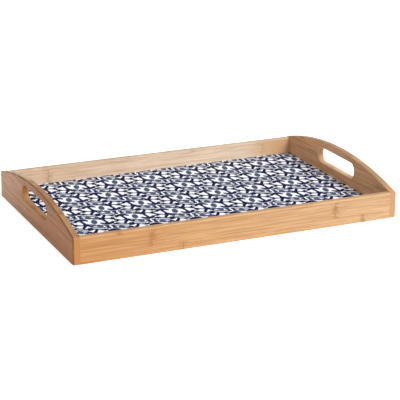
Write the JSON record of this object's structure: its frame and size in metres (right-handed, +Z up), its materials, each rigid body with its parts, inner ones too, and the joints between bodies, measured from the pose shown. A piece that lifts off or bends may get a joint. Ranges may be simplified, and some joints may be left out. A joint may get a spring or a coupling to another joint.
{
  "type": "serving tray",
  "caption": "Rectangular bamboo serving tray with arched end boards, hand slots and a patterned blue and white panel held in grooves, for carrying food and drinks.",
  "frame": {"origin": "centre of the bounding box, on the table that the tray stands on", "axes": "+X along the tray towards the right end board, +Y across it towards the back side board, +Z up"},
  "size_m": [0.44, 0.288, 0.0555],
  "materials": {
    "bamboo_front": "satin clear lacquer over laminated bamboo",
    "bamboo_back": "satin clear lacquer over laminated bamboo",
    "bamboo_left": "satin clear lacquer over laminated bamboo",
    "bamboo_right": "satin clear lacquer over laminated bamboo",
    "fibreboard": "bare medium-density fibreboard",
    "printed_paper": "printed melamine paper, semi-gloss",
    "backing_paper": "plain melamine paper, matt",
    "beech_dowel": "bare beech"
  },
  "bodies": {
    "root": {"side_board_front": "bamboo_front", "side_board_back": "bamboo_back", "end_board_left": "bamboo_left", "end_board_right": "bamboo_right", "panel_core": "fibreboard", "printed_skin": "printed_paper", "backing_skin": "backing_paper", "dowel_front_left_low": "beech_dowel", "dowel_front_left_high": "beech_dowel", "dowel_front_right_low": "beech_dowel", "dowel_front_right_high": "beech_dowel", "dowel_back_left_low": "beech_dowel", "dowel_back_left_high": "beech_dowel", "dowel_back_right_low": "beech_dowel", "dowel_back_right_high": "beech_dowel"}
  },
  "joints": []
}
